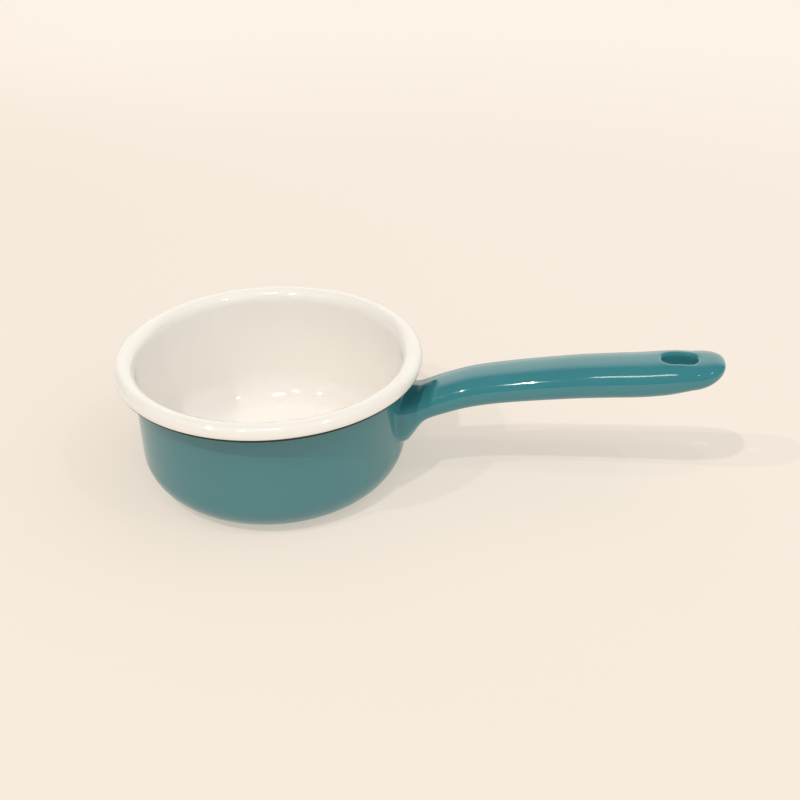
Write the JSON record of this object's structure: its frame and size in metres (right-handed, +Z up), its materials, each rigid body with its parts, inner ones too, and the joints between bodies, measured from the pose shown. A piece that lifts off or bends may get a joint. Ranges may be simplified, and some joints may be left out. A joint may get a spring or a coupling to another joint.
{
  "type": "milk pan",
  "caption": "Small round enamelled steel saucepan with a rounded base corner, a rolled white rim and a hollow rising handle with a long hanging hole.",
  "frame": {"origin": "centre of the flat underside of the base, on the surface that the pan stands on", "axes": "+Z up, out of the pan's mouth; +X along the handle, from the pan's axis to the handle's tip; +Y completes a right-handed frame, and the pan is mirror-symmetric about the XZ plane"},
  "size_m": [0.2713, 0.14, 0.0722],
  "materials": {
    "white_enamel": "glossy warm white vitreous enamel fused to drawn steel",
    "teal_enamel": "glossy teal vitreous enamel",
    "handle_enamel": "glossy teal vitreous enamel over pressed steel"
  },
  "bodies": {
    "root": {"pan_shell": "white_enamel", "outer_coat": "teal_enamel", "handle_upper": "handle_enamel", "handle_lower": "handle_enamel", "seam_weld": "handle_enamel", "foot_weld": "teal_enamel"}
  },
  "joints": []
}
